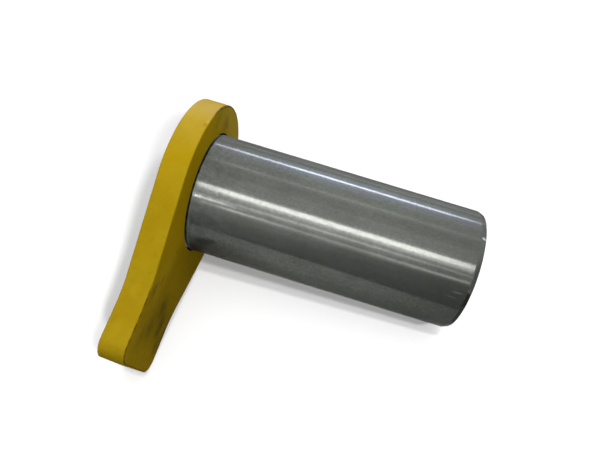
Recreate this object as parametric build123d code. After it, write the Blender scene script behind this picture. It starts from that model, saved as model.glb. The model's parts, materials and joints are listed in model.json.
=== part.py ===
from build123d import *
import os
from math import acos, asin, atan2, cos, degrees, hypot, pi, radians, sin, tan

# Flagged linkage pin of an excavator, in millimetres, with +Z up.
# A round pin stands through a keyhole-shaped flag plate and is welded to its outer face.
# The origin is the pin's axis at the plate's inner face. The pin points to +X and the plate's
# tail to -Y. The part lies on a floor as it comes to rest, on the head of the plate, the corner
# of the tail and the free end of the pin, so the pin runs slightly downhill.

# Pin
PIN_DIAMETER = 100.0
PIN_REACH = 221.0  # inner face of the plate to the free end
LEAD_IN_LENGTH = 4.0  # chamfer at the free end, along the axis
LEAD_IN_DEPTH = 1.5  # and on the radius
SEAT_RELIEF = 1.0  # the seat in the plate is turned this much under the journal, on the radius

# Lathe centres in both ends of the pin
CENTRE_MOUTH_DIAMETER = 13.2
CENTRE_PILOT_DIAMETER = 6.3
CENTRE_PILOT_DEPTH = 5.0  # straight part below the cone
CENTRE_CONE_ANGLE = 60.0
DRILL_POINT_ANGLE = 118.0

# Flag plate
PLATE_THICKNESS = 20.0
HEAD_RADIUS = 74.0
TAIL_REACH = 152.0  # pin axis to the end of the tail
TAIL_WIDTH = 78.0
TAIL_SIDE_LENGTH = 47.0  # from the sharp corner of the neck to the end of the tail
TAIL_CORNER_RADIUS = 13.0
NECK_RADIUS = 65.0
EDGE_RADIUS = 1.0  # break along the outline, at both faces
BORE_CLEARANCE = 0.1  # around the pin's seat, on the radius
BORE_MOUTH_GAP = 3.2  # around the journal at the inner face, where the bore is chamfered

# Weld in the groove between the pin and the plate's outer face
WELD_GROOVE_DEPTH = 6.0
WELD_CROWN = 1.5

journal_radius = PIN_DIAMETER / 2
seat_radius = journal_radius - SEAT_RELIEF
bore_radius = seat_radius + BORE_CLEARANCE
mouth_radius = journal_radius + BORE_MOUTH_GAP
tail_half_width = TAIL_WIDTH / 2
neck_corner = TAIL_REACH - TAIL_SIDE_LENGTH
journal_end = PIN_REACH - LEAD_IN_LENGTH
outer_face = -PLATE_THICKNESS
groove_root = outer_face + WELD_GROOVE_DEPTH


def turned(*corners):
    """Solid of revolution about the pin's axis, from (distance along it, radius) corners."""
    return revolve(Plane.XZ * make_face(Polyline(*corners, close=True)), Axis.X)


def lathe_centre():
    """Conical centre hole with its mouth at the origin, sunk toward -X."""
    mouth = CENTRE_MOUTH_DIAMETER / 2
    pilot = CENTRE_PILOT_DIAMETER / 2
    cone_depth = (mouth - pilot) / tan(radians(CENTRE_CONE_ANGLE / 2))
    pilot_depth = cone_depth + CENTRE_PILOT_DEPTH
    point_depth = pilot_depth + pilot / tan(radians(DRILL_POINT_ANGLE / 2))
    return turned((0, 0), (0, mouth), (-cone_depth, pilot), (-pilot_depth, pilot), (-point_depth, 0))


def pin_shaft():
    """Turned pin: its half of the weld groove, the seat, the ground journal and the lead-in."""
    shaft = turned(
        (outer_face, 0),
        (outer_face, seat_radius - WELD_GROOVE_DEPTH),
        (groove_root, seat_radius),
        (0, seat_radius),
        (0, journal_radius),
        (journal_end, journal_radius),
        (PIN_REACH, journal_radius - LEAD_IN_DEPTH),
        (PIN_REACH, 0),
    )
    free_centre = Pos(X=PIN_REACH) * lathe_centre()
    plate_centre = Pos(X=outer_face) * Rot(Z=180) * lathe_centre()
    return shaft - free_centre - plate_centre


def plate_outline():
    """Keyhole profile, with the pin's axis at its origin and the tail along its own +X.

    The flanks leave the round head as tangents from the sharp corners of the neck, where they
    blend into the parallel sides of the tail.
    """
    corner_angle = atan2(tail_half_width, neck_corner)
    tangent_angle = corner_angle + acos(HEAD_RADIUS / hypot(neck_corner, tail_half_width))
    flank_x = HEAD_RADIUS * cos(tangent_angle)
    flank_y = HEAD_RADIUS * sin(tangent_angle)
    flank_slope = pi / 2 - tangent_angle
    blend_room = TAIL_SIDE_LENGTH - TAIL_CORNER_RADIUS - EDGE_RADIUS
    widest_blend = blend_room / tan(flank_slope / 2)
    with BuildSketch() as outline:
        with BuildLine():
            ThreePointArc((flank_x, flank_y), (-HEAD_RADIUS, 0), (flank_x, -flank_y))
            Polyline(
                (flank_x, -flank_y),
                (neck_corner, -tail_half_width),
                (TAIL_REACH, -tail_half_width),
                (TAIL_REACH, tail_half_width),
                (neck_corner, tail_half_width),
                (flank_x, flank_y),
            )
        make_face()
        neck_corners = outline.vertices().group_by(Axis.X)[-2]
        fillet(neck_corners, min(NECK_RADIUS, widest_blend))
        tail_corners = outline.vertices().group_by(Axis.X)[-1]
        fillet(tail_corners, TAIL_CORNER_RADIUS)
    return outline.sketch


def tail_droop():
    """Angle below the horizontal of the tail when the head and the tail's corner touch the floor."""
    corner_x = TAIL_REACH - TAIL_CORNER_RADIUS
    corner_y = tail_half_width - TAIL_CORNER_RADIUS
    lean = asin((HEAD_RADIUS - TAIL_CORNER_RADIUS) / hypot(corner_x, corner_y))
    return lean - atan2(corner_y, corner_x)


def pin_dip():
    """Angle below the horizontal of the pin when the plate's edge and its free end touch the floor.

    The floor passes through the bottom of the lead-in chamfer and is tangent to the edge break.
    """
    span = journal_end + EDGE_RADIUS
    drop = HEAD_RADIUS - EDGE_RADIUS - journal_radius
    return atan2(drop, span) + asin(EDGE_RADIUS / hypot(span, drop))


def flag_plate():
    """Plate cut to the keyhole outline, bored for the pin, with its half of the weld groove."""
    droop = tail_droop()
    face_plane = Plane(origin=(0, 0, 0), x_dir=(0, -cos(droop), -sin(droop)), z_dir=(-1, 0, 0))
    blank = extrude(face_plane * plate_outline(), PLATE_THICKNESS)
    blank = fillet(blank.faces().filter_by(Axis.X).edges(), EDGE_RADIUS)
    bore = turned(
        (0, 0),
        (0, mouth_radius),
        (bore_radius - mouth_radius, bore_radius),
        (groove_root, bore_radius),
        (outer_face, bore_radius + WELD_GROOVE_DEPTH),
        (outer_face, 0),
    )
    return blank - bore


def weld_bead():
    """Ring of weld that fills the groove and stands proud of the outer face in a round crown."""
    inner_toe = (outer_face, seat_radius - WELD_GROOVE_DEPTH)
    outer_toe = (outer_face, bore_radius + WELD_GROOVE_DEPTH)
    crown_top = (outer_face - WELD_CROWN, (inner_toe[1] + outer_toe[1]) / 2)
    groove = Polyline(inner_toe, (groove_root, seat_radius), (groove_root, bore_radius), outer_toe)
    crown = ThreePointArc(outer_toe, crown_top, inner_toe)
    return revolve(Plane.XZ * make_face(groove + crown), Axis.X)


os.makedirs("parts", exist_ok=True)
at_rest = Rot(Y=degrees(pin_dip()))
export_step(at_rest * pin_shaft(), "parts/pin_shaft.step")
export_step(at_rest * flag_plate(), "parts/flag_plate.step")
export_step(at_rest * weld_bead(), "parts/weld_bead.step")
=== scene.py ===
import json
import logging
import math
from collections.abc import Mapping, Sequence
from dataclasses import dataclass

import bmesh
import bpy
from mathutils import Matrix, Vector


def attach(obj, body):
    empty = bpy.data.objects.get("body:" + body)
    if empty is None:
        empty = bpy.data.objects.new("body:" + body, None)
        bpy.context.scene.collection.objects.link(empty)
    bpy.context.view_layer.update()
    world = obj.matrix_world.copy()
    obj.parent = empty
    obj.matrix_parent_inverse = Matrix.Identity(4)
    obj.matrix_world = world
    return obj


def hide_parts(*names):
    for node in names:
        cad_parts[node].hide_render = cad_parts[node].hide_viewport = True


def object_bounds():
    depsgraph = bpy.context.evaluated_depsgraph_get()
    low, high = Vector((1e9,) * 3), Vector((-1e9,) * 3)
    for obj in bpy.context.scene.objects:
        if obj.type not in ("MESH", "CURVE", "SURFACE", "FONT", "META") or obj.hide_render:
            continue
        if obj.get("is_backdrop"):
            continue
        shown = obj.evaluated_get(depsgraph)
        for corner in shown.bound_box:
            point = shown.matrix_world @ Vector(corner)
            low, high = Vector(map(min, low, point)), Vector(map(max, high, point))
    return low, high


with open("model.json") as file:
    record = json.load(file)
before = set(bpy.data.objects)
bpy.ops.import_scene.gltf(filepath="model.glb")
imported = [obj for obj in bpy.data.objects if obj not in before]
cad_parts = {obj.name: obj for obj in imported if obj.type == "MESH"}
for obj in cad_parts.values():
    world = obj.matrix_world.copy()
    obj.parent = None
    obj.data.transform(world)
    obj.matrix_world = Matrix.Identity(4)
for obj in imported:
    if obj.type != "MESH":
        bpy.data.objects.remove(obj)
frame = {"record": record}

# A flagged linkage pin of an excavator, lying on a studio floor.
# Lengths are in metres. A point of the part is given along the pin from the plate's inner face,
# along the plate's tail from the pin's axis, and to the tail's upper side.

MM = 0.001
PATTERN_MEAN = 0.5

Triple = tuple[float, float, float]
Colour = Triple
Pair = tuple[float, float]
Stops = Sequence[Pair]
Outline = list[tuple[Vector, Vector]]
Ring = tuple[float, list[Vector]]
log = logging.getLogger("excavator_pin")


def opaque(colour: Colour) -> tuple[float, float, float, float]:
    """Returns the colour with the fourth number that a colour socket wants."""
    return (*colour, 1.0)


@dataclass(frozen=True)
class Bench:
    """The part's own directions in the frame in which it rests on the floor.

    Attributes:
        along: The pin's axis, from the plate to the free end.
        tail: The plate's centre line, from the pin's axis to the end of the tail.
        side: Square to both, towards the tail's upper side.
    """

    along: Vector
    tail: Vector
    side: Vector

    @classmethod
    def from_record(cls, record: Mapping) -> "Bench":
        """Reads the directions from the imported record's mounts.

        Args:
            record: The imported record.

        Returns:
            The part's directions.
        """
        axes = {mount["name"]: Vector(mount["axis"]).normalized() for mount in record["mounts"]}
        along, side = axes["journal"], axes["tail_side_up"]
        return cls(along, along.cross(side), side)

    @property
    def pin_turn(self) -> Matrix:
        """Turns a resting point into the pin's frame: along it, across it and up."""
        across = Vector((0.0, 1.0, 0.0))
        return Matrix((self.along, across, self.along.cross(across)))

    @property
    def plate_turn(self) -> Matrix:
        """Turns a resting point into the plate's frame: along the pin, up the tail and to its side."""
        return Matrix((self.along, -self.tail, self.side))


class Signal:
    """A number that varies over a surface, held as one socket, with Python's operators."""

    def __init__(self, graph: "Graph", socket: bpy.types.NodeSocket) -> None:
        """Wraps a socket.

        Args:
            graph: The node tree's builder.
            socket: An output of one of its nodes.
        """
        self.graph = graph
        self.socket = socket

    def _math(self, operation: str, first: "Signal | float", second: "Signal | float") -> "Signal":
        """Returns a Math node's result for two numbers."""
        return self.graph.signal("ShaderNodeMath", {"operation": operation}, {0: first, 1: second})

    def __add__(self, other: "Signal | float") -> "Signal":
        """Returns the sum."""
        return self._math("ADD", self, other)

    def __radd__(self, other: float) -> "Signal":
        """Returns the sum, with the number on the left."""
        return self._math("ADD", other, self)

    def __sub__(self, other: "Signal | float") -> "Signal":
        """Returns the difference."""
        return self._math("SUBTRACT", self, other)

    def __rsub__(self, other: float) -> "Signal":
        """Returns the difference, with the number on the left."""
        return self._math("SUBTRACT", other, self)

    def __mul__(self, other: "Signal | float") -> "Signal":
        """Returns the product."""
        return self._math("MULTIPLY", self, other)

    def __rmul__(self, other: float) -> "Signal":
        """Returns the product, with the number on the left."""
        return self._math("MULTIPLY", other, self)

    def __truediv__(self, other: "Signal | float") -> "Signal":
        """Returns the quotient."""
        return self._math("DIVIDE", self, other)

    def __neg__(self) -> "Signal":
        """Returns the number with its sign turned."""
        return self._math("MULTIPLY", self, -1.0)

    def larger(self, other: "Signal | float") -> "Signal":
        """Returns the larger of the two numbers."""
        return self._math("MAXIMUM", self, other)

    def smaller(self, other: "Signal | float") -> "Signal":
        """Returns the smaller of the two numbers."""
        return self._math("MINIMUM", self, other)

    def plain(self, operation: str) -> "Signal":
        """Returns a one-number operation of the Math node, such as SINE."""
        return self.graph.signal("ShaderNodeMath", {"operation": operation}, {0: self})

    def rise(self, low: float, high: float) -> "Signal":
        """Returns 0 at low and 1 at high with a smooth rise between, also where low is the larger.

        Args:
            low: The value that gives 0.
            high: The value that gives 1.

        Returns:
            The step.
        """
        settings = {"interpolation_type": "SMOOTHSTEP"}
        if low < high:
            return self.graph.signal("ShaderNodeMapRange", settings, {0: self, 1: low, 2: high})
        return 1.0 - self.graph.signal("ShaderNodeMapRange", settings, {0: self, 1: high, 2: low})


Link = bpy.types.NodeSocket | Signal


class Graph:
    """Builds the nodes of one tree, of a material, the world or a Geometry Nodes group.

    Attributes:
        MIX_COLOURS: A Mix node's colour inputs, by their number.
        MIX_RESULT: Its colour output.
    """

    MIX_COLOURS = (6, 7)
    MIX_RESULT = 2

    def __init__(self, tree: bpy.types.NodeTree) -> None:
        """Starts with an empty tree.

        Args:
            tree: The node tree to fill.
        """
        self.tree = tree
        tree.nodes.clear()

    def node(
        self,
        kind: str,
        settings: Mapping[str, object] | None = None,
        inputs: Mapping[int | str, object] | None = None,
    ) -> bpy.types.Node:
        """Adds a node.

        Args:
            kind: The node's type.
            settings: Its own settings, set first; stops gives a colour ramp's places and colours.
            inputs: A value or a link for each of its sockets.

        Returns:
            The node.
        """
        made = self.tree.nodes.new(kind)
        for name, value in (settings or {}).items():
            if name == "stops":
                self._set_stops(made.color_ramp, value)
            else:
                setattr(made, name, value)
        for key, value in (inputs or {}).items():
            source = value.socket if isinstance(value, Signal) else value
            if isinstance(source, bpy.types.NodeSocket):
                self.tree.links.new(source, made.inputs[key])
            else:
                made.inputs[key].default_value = source
        return made

    @staticmethod
    def _set_stops(ramp: bpy.types.ColorRamp, stops: Sequence[tuple[float, Colour]]) -> None:
        """Gives a colour ramp its places and colours."""
        for element in ramp.elements[1:]:
            ramp.elements.remove(element)
        for index, (place, colour) in enumerate(stops):
            element = ramp.elements[0] if index == 0 else ramp.elements.new(place)
            element.position = place
            element.color = opaque(colour)

    def signal(
        self,
        kind: str,
        settings: Mapping[str, object] | None = None,
        inputs: Mapping[int | str, object] | None = None,
        output: int | str = 0,
    ) -> Signal:
        """Adds a node and returns one of its outputs as a signal."""
        return Signal(self, self.node(kind, settings, inputs).outputs[output])

    def place(self, turn: Matrix) -> bpy.types.NodeSocket:
        """Returns the surface's place in a frame of the part.

        Args:
            turn: Turns a resting point into that frame.

        Returns:
            A vector link.
        """
        own = self.node("ShaderNodeTexCoord").outputs["Object"]
        turned = {"Vector": own, "Rotation": turn.to_euler("XYZ")}
        return self.node("ShaderNodeMapping", None, turned).outputs[0]

    def parts(self, vector: Link) -> tuple[Signal, Signal, Signal]:
        """Returns a vector's three numbers."""
        split = self.node("ShaderNodeSeparateXYZ", None, {0: vector})
        return tuple(Signal(self, output) for output in split.outputs)

    def vector(self, x: Signal | float, y: Signal | float, z: Signal | float) -> bpy.types.NodeSocket:
        """Returns a vector made of three numbers."""
        return self.node("ShaderNodeCombineXYZ", None, {0: x, 1: y, 2: z}).outputs[0]

    def grey(self, level: Signal) -> bpy.types.NodeSocket:
        """Returns a grey as bright as a number."""
        return self.vector(level, level, level)

    def mix(self, factor: Signal | float, first: object, second: object) -> bpy.types.NodeSocket:
        """Returns a colour between two.

        Args:
            factor: 0 gives the first colour and 1 the second.
            first: A colour or a colour link.
            second: A colour or a colour link.

        Returns:
            A colour link.
        """
        inputs = {0: factor}
        for socket, colour in zip(self.MIX_COLOURS, (first, second)):
            inputs[socket] = opaque(colour) if isinstance(colour, tuple) else colour
        return self.node("ShaderNodeMix", {"data_type": "RGBA"}, inputs).outputs[self.MIX_RESULT]

    def ramp(self, place: Signal, stops: Stops) -> Signal:
        """Returns a number that follows a place by way of stops.

        Args:
            place: The place that the stops are given along.
            stops: Places with the number that each has, in order.

        Returns:
            The number, which stays the same before the first stop and after the last.
        """
        first, last = stops[0][0], stops[-1][0]
        settings = {"stops": [((at - first) / (last - first), (value,) * 3) for at, value in stops]}
        return self.signal("ShaderNodeValToRGB", settings, {0: (place - first) / (last - first)})

    def tint(self, colour: object, by: Signal | float) -> bpy.types.NodeSocket:
        """Returns a colour made lighter or darker by a number."""
        scaled = {0: colour, "Scale": by}
        return self.node("ShaderNodeVectorMath", {"operation": "SCALE"}, scaled).outputs[0]

    def bump(self, strength: float, distance: float, height: Signal) -> bpy.types.NodeSocket:
        """Returns a surface's direction as a height bends it.

        Args:
            strength: How much of the height shows.
            distance: How high the height 1 is.
            height: The height.

        Returns:
            The direction, for a shader.
        """
        inputs = {"Strength": strength, "Distance": distance, "Height": height}
        return self.node("ShaderNodeBump", None, inputs).outputs[0]

    def shader(self, kind: str, inputs: Mapping[int | str, object]) -> bpy.types.NodeSocket:
        """Adds a shader's node and returns its shader."""
        return self.node(kind, None, inputs).outputs[0]

    def finish(self, surface: bpy.types.NodeSocket) -> None:
        """Ends a material in its surface's shader."""
        self.node("ShaderNodeOutputMaterial", None, {0: surface})


@dataclass(frozen=True)
class Grain:
    """A cloudy pattern around PATTERN_MEAN.

    Attributes:
        size: The length of the pattern's clouds along each direction.
        detail: How many finer layers it has.
        roughness: How strong they are.
        seed: Moves the pattern to another piece of the same cloud.
    """

    size: Triple
    detail: float
    roughness: float = 0.5
    seed: float = 0.0

    def over(self, graph: Graph, place: Link) -> Signal:
        """Returns the pattern over a surface.

        Args:
            graph: The node tree's builder.
            place: Where on the surface.

        Returns:
            The pattern.
        """
        scale = tuple(1.0 / length for length in self.size)
        spread = {0: place, 1: scale, 2: (self.seed,) * 3}
        moved = graph.node("ShaderNodeVectorMath", {"operation": "MULTIPLY_ADD"}, spread).outputs[0]
        layers = {"Vector": moved, "Scale": 1.0, "Detail": self.detail, "Roughness": self.roughness}
        return graph.signal("ShaderNodeTexNoise", None, layers)


@dataclass(frozen=True)
class Fade:
    """A smooth change from nothing to a full amount between two values of a signal.

    Attributes:
        start: The value at which it starts.
        full: The value at which it is full, which may be the smaller one.
        amount: The full amount.
    """

    start: float
    full: float
    amount: float = 1.0

    def over(self, signal: Signal) -> Signal:
        """Returns the change over a signal."""
        faded = signal.rise(self.start, self.full)
        return faded if self.amount == 1.0 else faded * self.amount


@dataclass(frozen=True)
class Spot:
    """A soft-edged patch of a surface, as an ellipsoid given in millimetres.

    Attributes:
        along: Its place along the pin from the plate's inner face.
        tail: Its place along the tail, or for the pin, forwards from its axis.
        side: Its place to the tail's upper side, or for the pin, up from its axis.
        reach: Its half length along each of these.
        strength: How much of its colour it takes.
        OUTSIDE: How far from its middle it has faded out, as a share of its reach.
    """

    along: float
    tail: float
    side: float
    reach: tuple[float, float, float]
    strength: float

    OUTSIDE = 1.15

    def mask(self, graph: Graph, place: Link, ragged: Signal | float, core: float) -> Signal:
        """Returns the patch as a signal from 0 to its strength.

        Args:
            graph: The material's builder.
            place: Where on the part, in the material's frame.
            ragged: Moves the patch's edge in and out.
            core: How far from its middle it starts to fade, as a share of its reach.

        Returns:
            The patch.
        """
        unit = {
            "Vector": place,
            "Location": Vector((self.along, -self.tail, self.side)) * MM,
            "Scale": Vector(self.reach) * MM,
        }
        inside = graph.node("ShaderNodeMapping", {"vector_type": "TEXTURE"}, unit).outputs[0]
        far = graph.signal("ShaderNodeVectorMath", {"operation": "LENGTH"}, {0: inside}, "Value")
        return (far + ragged).rise(self.OUTSIDE, core) * self.strength


def union(masks: Sequence[Signal]) -> Signal:
    """Returns the largest of several masks."""
    merged = masks[0]
    for mask in masks[1:]:
        merged = merged.larger(mask)
    return merged


@dataclass(frozen=True)
class Marks:
    """Spots of one kind.

    Attributes:
        spots: The spots.
        fray: How ragged their edges are.
        core: How far from its middle a spot starts to fade, as a share of its reach.
    """

    spots: tuple[Spot, ...]
    fray: float
    core: float

    def mask(self, graph: Graph, place: Link, ragged: Signal | float = 0.0) -> Signal:
        """Returns the spots as one signal.

        Args:
            graph: The material's builder.
            place: Where on the part, in the material's frame.
            ragged: The pattern that frays their edges.

        Returns:
            The largest of the spots' own masks.
        """
        return union([spot.mask(graph, place, ragged * self.fray, self.core) for spot in self.spots])


def new_material(name: str) -> tuple[bpy.types.Material, Graph]:
    """Returns an empty node material and its builder."""
    material = bpy.data.materials.new(name)
    material.use_nodes = True
    return material, Graph(material.node_tree)


@dataclass(frozen=True)
class GroundSteel:
    """Ground and oiled steel of the pin, with faint streaks along it, and hazy and rusty at its foot.

    Each shade is how much a pattern lightens the steel. Each haze is how much of the dull lobe
    shows, of two lobes that the steel reflects with. The fades run over a pattern, along the pin
    from the plate's inner face, or up from the pin's axis.
    """

    colour: Colour = (0.148, 0.158, 0.142)
    shade: Colour = (0.114, 0.122, 0.108)
    rust: Colour = (0.125, 0.098, 0.048)
    edge: Colour = (0.57, 0.57, 0.57)
    bare_metal_and_glint: Colour = (0.62, 0.66, 0.72)
    least_colour: float = 0.4
    even_shade: float = 0.66
    streak_shade: float = 0.28
    mottle_shade: float = 0.27
    smear_shade: float = 0.26
    under_shade: float = 0.3
    rust_cover: float = 0.85
    roughness: float = 0.13
    streak_roughness: float = 0.05
    mottle_roughness: float = 0.02
    rust_roughness: float = 0.1
    streak_depth: float = 0.0027 * MM
    mottle_depth: float = 0.0018 * MM
    grinding_depth: float = 0.012 * MM
    haze_roughness: float = 0.48
    even_haze: float = 0.08
    foot_haze: float = 0.12
    most_haze: float = 0.95

    STREAKS = Grain((60 * MM, 0.9 * MM, 0.9 * MM), 4.0, 0.6)
    MOTTLE = Grain((2.2 * MM, 1.9 * MM, 1.9 * MM), 4.0, 0.75)
    CLOUDS = Grain((38 * MM, 17 * MM, 17 * MM), 3.0, 0.55, seed=4.0)
    SMEARS = Grain((5 * MM, 5 * MM, 5 * MM), 5.0, 0.7, seed=9.0)
    GRINDING = Grain((0.4 * MM, 14 * MM, 14 * MM), 3.0, 0.7, seed=11.0)

    MOTTLED = Fade(0.25, 0.75)
    CLOUDED = Fade(0.3, 0.7, 0.6)
    RUSTED = Fade(0.36, 0.62)
    SMEARED = Fade(0.35, 0.7, 0.3)
    JOURNAL = Fade(-2 * MM, -0.5 * MM)
    FOOT = Fade(75 * MM, 2 * MM)
    # Painted shade: the pin is darkened over its first millimetres at the plate, for the shade of the gap
    # round its root.
    PAINTED_ROOT_SHADE = Fade(1.6 * MM, 0.6 * MM, 0.8)
    HAZY_ROOT = Fade(3.5 * MM, 1.5 * MM, 0.5)
    HAZY_FOOT = Fade(60 * MM, 10 * MM, 0.3)
    SHORT_OF_END = Fade(226 * MM, 150 * MM)
    # Painted reflection: the lead-in at the free end is darkened by half below the pin's top, for the dark
    # that it reflects.
    PAINTED_LEAD_IN_SHADE = Fade(217.2 * MM, 217.8 * MM, 0.5)
    PAINTED_LEAD_IN_SHADE_BELOW_TOP = Fade(49 * MM, 38 * MM)
    LOWER_SIDE = Fade(32 * MM, 2 * MM)
    RUSTY_SIDE = Fade(10 * MM, -40 * MM)

    # Pale nicks and scratches near the free end. The first is painted bright and bluish as a glint, a painted
    # highlight.
    NICKS_AND_GLINT = Marks(
        (
            Spot(219.0, 4.0, 49.3, (2.2, 1.4, 2.0), 0.8),
            Spot(210.5, 42.3, 26.7, (5.0, 0.9, 0.9), 0.24),
            Spot(207.5, 44.6, 22.6, (5.0, 0.8, 0.8), 0.16),
        ),
        fray=0.0,
        core=0.4,
    )

    def build(self, bench: Bench) -> bpy.types.Material:
        """Builds the material.

        Args:
            bench: The part's directions.

        Returns:
            The material.
        """
        material, graph = new_material("ground_steel")
        place = graph.place(bench.pin_turn)
        along, _, up = graph.parts(place)
        streaks = self.STREAKS.over(graph, place)
        mottle = self.MOTTLED.over(self.MOTTLE.over(graph, place))
        smears = self.SMEARS.over(graph, place)
        journal = self.JOURNAL.over(along)
        foot = journal * self.FOOT.over(along)
        under = self.LOWER_SIDE.over(up)
        stain = foot * self.RUSTY_SIDE.over(up) * self.RUSTED.over(smears)
        clear = self.least_colour + self.CLOUDED.over(self.CLOUDS.over(graph, place))
        body = graph.mix(clear * self.SHORT_OF_END.over(along), self.shade, self.colour)
        light = self.even_shade + self.streak_shade * streaks + self.mottle_shade * mottle
        light = light + self.smear_shade * smears + self.under_shade * under * (mottle - PATTERN_MEAN)
        # Darker: the foot's smears, which are dirt, and painted shade at the pin's root.
        dark = foot * self.SMEARED.over(smears) + journal * self.PAINTED_ROOT_SHADE.over(along)
        # Painted dark reflection on the lead-in, below the pin's top.
        dark = dark + self.PAINTED_LEAD_IN_SHADE.over(along) * self.PAINTED_LEAD_IN_SHADE_BELOW_TOP.over(up)
        body = graph.tint(graph.tint(body, light), 1.0 - dark)
        body = graph.mix(stain * self.rust_cover, body, self.rust)
        # Pale metal of the nicks and scratches, with the painted glint.
        body = graph.mix(self.NICKS_AND_GLINT.mask(graph, place), body, self.bare_metal_and_glint)
        roughness = self.roughness + self.streak_roughness * (streaks - PATTERN_MEAN)
        roughness = roughness + self.mottle_roughness * (mottle - PATTERN_MEAN) + self.rust_roughness * stain
        height = self.streak_depth * streaks + self.mottle_depth * mottle
        height = height + self.grinding_depth * self.GRINDING.over(graph, place)
        haze = journal * (self.HAZY_ROOT.over(along) + under * self.HAZY_FOOT.over(along))
        haze = (haze + self.even_haze + self.foot_haze * foot).smaller(self.most_haze)
        steel = {
            "Base Color": body,
            "Metallic": 1.0,
            "Specular Tint": opaque(self.edge),
            "Normal": graph.bump(1.0, 1.0, height),
        }
        sharp = graph.shader("ShaderNodeBsdfPrincipled", {**steel, "Roughness": roughness})
        dull = graph.shader("ShaderNodeBsdfPrincipled", {**steel, "Roughness": self.haze_roughness})
        graph.finish(graph.shader("ShaderNodeMixShader", {0: haze, 1: sharp, 2: dull}))
        return material


@dataclass(frozen=True)
class PlateSurface:
    """What the paint follows over the plate.

    Attributes:
        place: Where on the plate.
        along: How far along the pin from the inner face.
        tail: How far along the tail from the pin's axis.
        side: How far to the tail's upper side.
        radius: How far from the pin's axis.
        rim: 1 on the rim and 0 on the faces.
        face: 1 on the faces and 0 on the rim.
        blotches: A fine pattern.
        specks: The finest pattern.
        streaks: A pattern for the dirt.
    """

    place: Link
    along: Signal
    tail: Signal
    side: Signal
    radius: Signal
    rim: Signal
    face: Signal
    blotches: Signal
    specks: Signal
    streaks: Signal


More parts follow.
